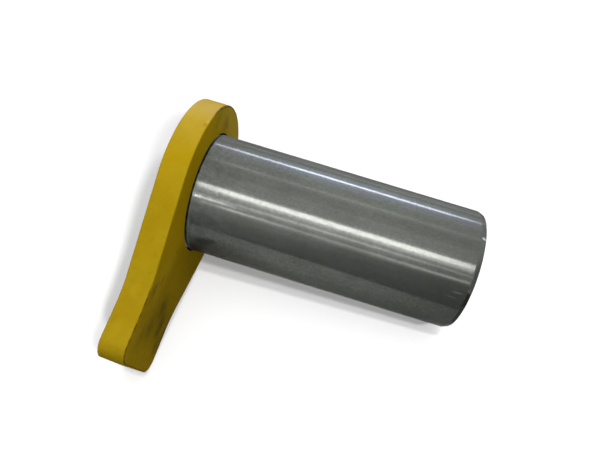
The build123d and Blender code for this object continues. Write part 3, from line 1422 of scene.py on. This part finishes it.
@dataclass
class WeldBead:
    """The rippled weld that fills the groove between the pin and the plate's outer face.

    Attributes:
        crown: How far the bead stands out from the plate.
        overlap: How far it reaches beyond the groove on either side.
        ripples: How many ripples go round the pin.
        ripple_height: How high a ripple is.
        wander: How far the bead strays from a true ring.
        steps_per_ripple: How many runs a ripple is made of.
        crown_steps: How many runs the crown is made of.
        seed: Chooses the way in which the bead strays.
    """

    crown: float = 1.5 * MM
    overlap: float = 0.7 * MM
    ripples: int = 140
    ripple_height: float = 0.35 * MM
    wander: float = 0.8 * MM
    steps_per_ripple: int = 8
    crown_steps: int = 14
    seed: float = 3.0

    def build(self, turned: TurnedTree, bench: Bench, pin: PinShaft, plate: FlagPlate) -> bpy.types.Object:
        """Builds the bead's mesh.

        Args:
            turned: The group that turns a profile.
            bench: The part's directions.
            pin: The pin, whose seat the groove is cut into.
            plate: The plate, whose outer face the bead stands on.

        Returns:
            The bead.
        """
        seat = pin.radius - pin.relief
        inner_toe = seat - plate.groove - self.overlap
        outer_toe = plate.bore_radius + plate.groove + self.overlap
        middle, half = (inner_toe + outer_toe) / 2, (outer_toe - inner_toe) / 2
        profile = []
        for step in range(self.crown_steps + 1):
            across = 2 * step / self.crown_steps - 1
            share = 1 - across * across
            profile.append((-plate.thickness - self.crown * share, middle + across * half, share))
        profile.append((plate.groove - plate.thickness, plate.bore_radius, 0.0))
        profile.append((plate.groove - plate.thickness, seat, 0.0))
        values = {
            "Segments": self.ripples * self.steps_per_ripple,
            "Ripples": self.ripples,
            "Ripple Height": self.ripple_height,
            "Wander": self.wander,
            "Seed": self.seed,
        }
        return turned.turn("rippled_weld", profile, True, values, bench.pin_turn.transposed())

    def dress(self, piece: bpy.types.Object, paint: bpy.types.Material) -> None:
        """Gives the bead its finish and its place in the frame."""
        piece.data.materials.clear()
        piece.data.materials.append(paint)
        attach(piece, "root")
        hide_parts("weld_bead")


@dataclass(frozen=True)
class View:
    """Where the camera stands beside the pin, in the pin's frame.

    Attributes:
        along: How far along the pin from the plate it is.
        distance: How far from the pin it is.
    """

    along: float = 107 * MM
    distance: float = 364 * MM

    def mirrored(self, seen: float, distance: float) -> float:
        """Returns where along the pin a thing is whose reflection is seen at a place on the pin.

        Args:
            seen: The place on the pin.
            distance: How far from the pin the thing is.

        Returns:
            Its place along the pin.
        """
        return seen + (seen - self.along) * distance / self.distance


VIEW = View()


@dataclass(frozen=True)
class Panel:
    """A flat panel beside the pin that is seen only in the part's reflections.

    Attributes:
        name: What the panel is called.
        run: Its brightness along the pin, as stops of millimetres where it is seen on the pin.
    """

    name: str
    run: Stops

    def away(self) -> float:
        """Returns how far from the pin the panel is."""
        raise NotImplementedError

    def corners(self, rest: Matrix, floor: float) -> list[Vector]:
        """Returns the panel's corners.

        Args:
            rest: Turns a point of the pin's frame into the resting frame.
            floor: The floor's height.

        Returns:
            The corners in the resting frame.
        """
        raise NotImplementedError

    def surface(self, graph: Graph, place: Link, share: Signal) -> bpy.types.NodeSocket:
        """Returns the panel's shader.

        Args:
            graph: The material's builder.
            place: Where on the panel, in the pin's frame.
            share: Its brightness along the pin.

        Returns:
            A shader link.
        """
        raise NotImplementedError

    def build(self, bench: Bench, floor: float) -> bpy.types.Object:
        """Builds the panel.

        Args:
            bench: The part's directions.
            floor: The floor's height.

        Returns:
            The panel's object, seen only by glossy rays.
        """
        material, graph = new_material(self.name)
        place = graph.place(bench.pin_turn)
        along, _, _ = graph.parts(place)
        stops = [(VIEW.mirrored(seen * MM, self.away()), share) for seen, share in self.run]
        surface = self.surface(graph, place, graph.ramp(along, stops))
        graph.finish(surface)
        panel = staged_panel(self.name, self.corners(bench.pin_turn.transposed(), floor), material)
        panel.visible_camera = False
        panel.visible_diffuse = False
        panel.visible_shadow = False
        panel.visible_transmission = False
        return panel


@dataclass(frozen=True)
class Strip(Panel):
    """A long lamp in line with the pin.

    Attributes:
        low: The angle from straight above, towards the front, at which it starts, in degrees.
        high: The angle at which it ends.
        radiance: How bright it is, where 1 is white.
        colour: Its colour.
        clear: How much it lets through of what is behind it, where it is brightest.
        distance: How far from the pin's axis it is.
        slant: How much further along the pin its high edge starts than its low edge.
        REACH: Where along the pin it is seen from and to.
    """

    low: float
    high: float
    radiance: float
    colour: Colour = (1.0, 1.0, 1.0)
    clear: float = 1.0
    distance: float = 1.2
    slant: float = 0.0

    REACH = (-12 * MM, 219 * MM)

    def away(self) -> float:
        """Returns how far from the pin the lamp is."""
        return self.distance

    def corners(self, rest: Matrix, floor: float) -> list[Vector]:
        """Returns the lamp's corners in the resting frame."""
        start, stop = self.REACH
        slanted = start + self.slant
        made = []
        for seen, turn in ((start, self.low), (stop, self.low), (stop, self.high), (slanted, self.high)):
            angle = math.radians(turn)
            front, up = self.distance * math.sin(angle), self.distance * math.cos(angle)
            made.append(rest @ Vector((VIEW.mirrored(seen, self.distance), -front, up)))
        return made

    def surface(self, graph: Graph, place: Link, share: Signal) -> bpy.types.NodeSocket:
        """Returns the lamp's shader, whose light comes on top of what is behind it."""
        light = {"Color": graph.tint(self.colour, share), "Strength": self.radiance}
        lit = graph.shader("ShaderNodeEmission", light)
        through = graph.grey(1.0 - (1.0 - self.clear) * share)
        behind = graph.shader("ShaderNodeBsdfTransparent", {"Color": through})
        return graph.shader("ShaderNodeAddShader", {0: lit, 1: behind})


@dataclass(frozen=True)
class Wall(Panel):
    """A card that stands beside the pin and keeps its own shade.

    Attributes:
        start: Where its foot starts: along the pin, and in front of its axis.
        stop: Where its foot ends.
        bottom: How high it starts, from the pin's axis.
        top: How high it ends, at its start and at its stop.
        shades: How bright it is at several heights.
    """

    start: Pair
    stop: Pair
    bottom: float
    top: Pair
    shades: Stops

    def away(self) -> float:
        """Returns how far from the pin the card is about its middle."""
        return (self.start[1] + self.stop[1]) / 2

    def corners(self, rest: Matrix, floor: float) -> list[Vector]:
        """Returns the card's corners in the resting frame."""
        edges = (
            (self.start, self.bottom),
            (self.stop, self.bottom),
            (self.stop, self.top[1]),
            (self.start, self.top[0]),
        )
        return [rest @ Vector((foot[0], -foot[1], height)) for foot, height in edges]

    def surface(self, graph: Graph, place: Link, share: Signal) -> bpy.types.NodeSocket:
        """Returns the card's shader."""
        _, _, height = graph.parts(place)
        shade = share * graph.ramp(height, self.shades)
        return graph.shader("ShaderNodeEmission", {"Color": graph.grey(shade)})


@dataclass(frozen=True)
class Mat(Panel):
    """A card that lies on the floor beside the pin and takes light.

    Attributes:
        near: How far in front of the pin's axis its near edge is.
        far: How far in front its far edge is.
        shades: How pale it is from its near edge to its far edge, as stops from 0 to 1.
        REACH: Where along the pin it starts and ends.
        LIFT: How high above the floor it lies.
        SHOWN_AT: How far from the pin the part of it is that shows most.
    """

    near: float
    far: float
    shades: Stops

    REACH = (-0.6, 0.9)
    LIFT = 1.5 * MM
    SHOWN_AT = 0.15

    def away(self) -> float:
        """Returns how far from the pin the card shows most."""
        return self.SHOWN_AT

    def corners(self, rest: Matrix, floor: float) -> list[Vector]:
        """Returns the card's corners in the resting frame."""
        start, stop = self.REACH
        places = ((start, self.near), (stop, self.near), (stop, self.far), (start, self.far))
        return [Vector((along, -front, floor + self.LIFT)) for along, front in places]

    def surface(self, graph: Graph, place: Link, share: Signal) -> bpy.types.NodeSocket:
        """Returns the card's shader."""
        _, across, _ = graph.parts(place)
        part = (-across - self.near) / (self.far - self.near)
        shade = share * graph.ramp(part, self.shades)
        return graph.shader("ShaderNodeBsdfDiffuse", {"Color": graph.grey(shade)})


def staged_panel(name: str, corners: Sequence[Vector], material: bpy.types.Material) -> bpy.types.Object:
    """Returns a flat four-cornered sheet that belongs to the studio.

    Args:
        name: The sheet's name.
        corners: Its corners in order, in the resting frame.
        material: Its material.

    Returns:
        The sheet.
    """
    mesh = bpy.data.meshes.new(name)
    mesh.from_pydata(corners, [], [tuple(range(len(corners)))])
    mesh.materials.append(material)
    panel = bpy.data.objects.new(name, mesh)
    bpy.context.scene.collection.objects.link(panel)
    panel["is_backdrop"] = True
    return panel


@dataclass
class Studio:
    """The floor, the sky and the lamps over the floor.

    Attributes:
        floor_reach: How far the floor reaches.
        floor_shade: How pale the floor is where it is seen.
        floor_glow: The light that the floor gives out near the part.
        glow_start: How far from the origin that light starts to grow.
        glow_full: How far out it is white by itself.
        floor_bounce: How pale the floor is for the light that it throws back at the part.
        sky_low: How bright the sky is for the part, away from its bright middle.
        sky_high: How much brighter it is in its middle.
        sky_centre: The direction of its middle.
        sky_edge: The angle from its middle at which it starts to brighten, in degrees.
        sky_core: The angle within which it is full.
        spots: The directions of the lamps that light the floor.
        spot_level: How white each of them makes the floor.
        spot_distance: How far they stand from the origin.
        spot_width: How wide they are.
    """

    floor_reach: float = 4.0
    floor_shade: float = 0.4
    floor_glow: float = 0.05
    glow_start: float = 0.3
    glow_full: float = 2.1
    floor_bounce: float = 0.16
    sky_low: float = 0.12
    sky_high: float = 2.5
    sky_centre: Triple = (0.08, 0.05, 1.0)
    sky_edge: float = 45.0
    sky_core: float = 20.0
    spots: tuple[Triple, ...] = ((0.72, -0.9, 1.0), (0.62, -0.45, 1.0), (0.12, -0.27, 1.0))
    spot_level: float = 0.59
    spot_distance: float = 4.0
    spot_width: float = 0.3

    def build_floor(self, level: float) -> bpy.types.Object:
        """Builds the pale floor.

        Args:
            level: The height of the part's lowest point.

        Returns:
            The floor.
        """
        reach = self.floor_reach
        ways = ((-reach, -reach), (reach, -reach), (reach, reach), (-reach, reach))
        corners = [Vector((x, y, level)) for x, y in ways]
        material, graph = new_material("studio_floor")
        across, onward, _ = graph.parts(graph.place(Matrix.Identity(3)))
        away = (across * across + onward * onward).plain("SQRT")
        glow = graph.grey(self.floor_glow + away.rise(self.glow_start, self.glow_full))
        own_light = graph.shader("ShaderNodeEmission", {"Color": glow})
        pale = graph.shader("ShaderNodeBsdfDiffuse", {"Color": opaque((self.floor_shade,) * 3)})
        white = graph.shader("ShaderNodeAddShader", {0: pale, 1: own_light})
        dim = graph.shader("ShaderNodeBsdfDiffuse", {"Color": opaque((self.floor_bounce,) * 3)})
        graph.finish(graph.shader("ShaderNodeMixShader", {0: self._seen(graph), 1: dim, 2: white}))
        return staged_panel("studio_floor", corners, material)

    @staticmethod
    def _seen(graph: Graph) -> Signal:
        """Returns 1 for rays that show the background: from the camera, or by way of metal or glass."""
        path = graph.node("ShaderNodeLightPath").outputs
        kinds = ("Is Camera Ray", "Is Glossy Ray", "Is Transmission Ray")
        return union([Signal(graph, path[kind]) for kind in kinds])

    def build_sky(self) -> None:
        """Builds the world: white where it is seen, and a soft light from above for the part."""
        world = bpy.data.worlds.new("studio_sky")
        bpy.context.scene.world = world
        world.use_nodes = True
        graph = Graph(world.node_tree)
        towards = {
            0: graph.node("ShaderNodeTexCoord").outputs["Generated"],
            1: tuple(Vector(self.sky_centre).normalized()),
        }
        near = graph.signal("ShaderNodeVectorMath", {"operation": "DOT_PRODUCT"}, towards, "Value")
        edge, core = (math.cos(math.radians(angle)) for angle in (self.sky_edge, self.sky_core))
        light = self.sky_low + self.sky_high * near.rise(edge, core)
        seen = self._seen(graph)
        strength = seen + (1.0 - seen) * light
        white = {"Color": opaque((1.0, 1.0, 1.0)), "Strength": strength}
        graph.node("ShaderNodeOutputWorld", None, {0: graph.shader("ShaderNodeBackground", white)})

    def build_floor_lamps(self, floor: bpy.types.Object) -> None:
        """Builds the lamps that only light the floor, from above and from the right of the camera.

        Args:
            floor: The floor, on which the part throws its shadow.
        """
        lit = bpy.data.collections.new("lit_by_floor_lamps")
        lit.objects.link(floor)
        for index, direction in enumerate(self.spots):
            name = f"floor_lamp_{index + 1}"
            outward = Vector(direction).normalized()
            lamp = bpy.data.lights.new(name, "AREA")
            lamp.shape = "DISK"
            lamp.size = self.spot_width
            lamp.energy = self.spot_level / outward.z * (math.pi * self.spot_distance) ** 2
            made = bpy.data.objects.new(name, lamp)
            turn = outward.to_track_quat("Z", "Y").to_matrix().to_4x4()
            made.matrix_world = Matrix.Translation(outward * self.spot_distance) @ turn
            made.visible_camera = False
            made.visible_glossy = False
            made.visible_transmission = False
            bpy.context.scene.collection.objects.link(made)
            made.light_linking.receiver_collection = lit


@dataclass(frozen=True)
class Shot:
    """The camera, above the front of the part, as it was fitted to the part's outline.

    Attributes:
        lens: Its focal length, in millimetres.
        film: The width of its film, in millimetres.
        shift: How far its picture is shifted to the right and up, in widths of the film.
        spot: Where it stands.
        aim: Where it looks.
        roll: How far it is turned about its line of sight, in degrees.
        nearest: The nearest distance that it shows.
    """

    lens: float = 29.549
    film: float = 36.0
    shift: Pair = (-0.01456, 0.03108)
    spot: Triple = (0.14211, -0.2531, 0.31387)
    aim: Triple = (0.09468, -0.02749, 0.0)
    roll: float = 3.757
    nearest: float = 0.01

    def build(self) -> bpy.types.Object:
        """Builds the camera and makes it the scene's."""
        camera = bpy.data.cameras.new("camera")
        camera.lens = self.lens
        camera.sensor_width = self.film
        camera.shift_x, camera.shift_y = self.shift
        camera.clip_start = self.nearest
        spot = Vector(self.spot)
        roll = math.radians(self.roll)
        ahead = (Vector(self.aim) - spot).normalized()
        right = ahead.cross(Vector((0.0, 0.0, 1.0))).normalized()
        upward = right.cross(ahead)
        across = right * math.cos(roll) + upward * math.sin(roll)
        turn = Matrix((across, -ahead.cross(across), -ahead)).transposed()
        made = bpy.data.objects.new("camera", camera)
        made.matrix_world = Matrix.Translation(spot) @ turn.to_4x4()
        bpy.context.scene.collection.objects.link(made)
        bpy.context.scene.camera = made
        return made


WINDOW = (0.79, 0.77, 1.0)
HAZY_WINDOW = (0.5, 0.58, 1.0)
LAMP = (1.0, 0.96, 1.0)

# What the pin mirrors, from its rear to its front, and then the cards beside it
PANELS = (
    Strip(
        "window_line",
        ((3, 0.5), (15, 0.42), (30, 0.7), (60, 0.85), (100, 1.0), (180, 0.85), (215, 0.2)),
        low=-66.1, high=-63.5, radiance=15.0, colour=WINDOW,
    ),
    Strip(
        "window_glow",
        ((5, 0.1), (30, 0.4), (60, 0.85), (110, 1.0), (215, 0.6)),
        low=-80.0, high=-53.0, radiance=0.85, colour=HAZY_WINDOW,
    ),
    Strip(
        "window_fringe",
        ((5, 0.1), (30, 0.4), (60, 0.85), (110, 1.0), (215, 0.8)),
        low=-53.0, high=-44.0, radiance=0.4, colour=HAZY_WINDOW,
    ),
    Strip(
        "faint_line",
        ((10, 0.2), (16, 0.9), (24, 0.3), (32, 1.0), (44, 0.8), (56, 0.4), (110, 0.6), (215, 0.3)),
        low=-27.6, high=-24.4, radiance=1.0,
    ),
    Strip(
        "lamp_bright",
        ((3, 1.0), (9, 0.85), (15, 0.9), (30, 0.98), (60, 0.9), (100, 0.88), (160, 0.82), (215, 0.77)),
        low=23.6, high=31.8, radiance=6.5, colour=LAMP, slant=26 * MM,
    ),
    Strip(
        "lamp_half",
        ((5, 0.8), (30, 1.0), (60, 1.15), (110, 0.85), (160, 1.0), (215, 1.6)),
        low=31.8, high=37.0, radiance=1.3, colour=LAMP,
    ),
    Strip(
        "lamp_dim",
        ((5, 0.8), (30, 1.0), (60, 1.5), (90, 1.0), (140, 0.8), (215, 0.4)),
        low=38.0, high=48.0, radiance=0.4, colour=LAMP,
    ),
    Strip(
        "middle_line",
        ((5, 0.6), (60, 0.9), (140, 1.0), (215, 0.7)),
        low=43.4, high=44.8, radiance=3.6, colour=LAMP,
    ),
    Strip(
        "short_line",
        ((2, 0.9), (11, 1.0), (15, 0.2), (30, 0.5), (36, 0.0)),
        low=47.6, high=50.0, radiance=16.0, colour=LAMP,
    ),
    Strip(
        "fine_line",
        (
            (10, 0.0), (16, 0.6), (40, 1.0), (60, 0.6), (72, 0.3),
            (140, 0.25), (148, 0.45), (158, 0.25), (190, 0.45), (215, 0.5),
        ),
        low=55.2, high=57.4, radiance=4.5,
    ),
    Strip("dim_band", ((5, 1.0), (215, 1.0)), low=-19.0, high=-1.0, radiance=0.0, clear=0.84),
    Strip("end_shade", ((110, 0.0), (190, 1.0)), low=40.0, high=55.0, radiance=0.0, clear=0.68),
    Wall(
        "front_flag",
        ((15, 1.0), (60, 0.95), (110, 0.85), (205, 0.68)),
        start=(-0.3, 0.55), stop=(0.33, 0.121), bottom=-0.1, top=(0.281, 0.088),
        shades=((-0.072, 0.26), (-0.04, 0.36), (0.0, 0.4), (0.05, 0.46), (0.09, 0.54), (0.14, 0.74)),
    ),
    Mat(
        "front_mat",
        ((15, 0.56), (60, 0.6), (110, 0.6), (205, 0.42)),
        near=-0.04, far=0.9,
        shades=((0.0, 1.8), (0.09, 2.0), (0.105, 1.4), (0.13, 1.17), (0.16, 1.15), (0.2, 1.2)),
    ),
    Mat(
        "rear_mat",
        ((15, 0.8), (60, 1.1), (110, 0.95), (205, 1.2)),
        near=-0.04, far=-0.8,
        shades=((0.0, 0.2), (0.156, 0.28), (0.216, 0.4), (0.325, 0.8), (0.5, 1.1)),
    ),
)


def main() -> None:
    """Builds the part and the studio, and reports each piece."""
    logging.basicConfig(level=logging.INFO, format="%(name)s: %(message)s")
    cad_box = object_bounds()
    bench = Bench.from_record(frame["record"])
    turned = TurnedTree()
    pin, plate, weld = PinShaft(), FlagPlate(), WeldBead()
    shaft = pin.build(turned, bench, plate)
    pin.dress(shaft, GroundSteel().build(bench))
    flag = plate.build(bench)
    plate.dress(flag, YellowPaint().build(bench, plate))
    bead = weld.build(turned, bench, pin, plate)
    weld.dress(bead, PaintedWeld().build(bench))
    for piece in (shaft, flag, bead):
        log.info("%s has %d faces", piece.name, len(piece.data.polygons))
    studio = Studio()
    level = cad_box[0][2]
    floor = studio.build_floor(level)
    studio.build_sky()
    studio.build_floor_lamps(floor)
    for panel in PANELS:
        log.info("%s is in the studio", panel.build(bench, level).name)
    Shot().build()
    bpy.context.scene.view_settings.view_transform = "Standard"


if __name__ == "__main__":
    main()
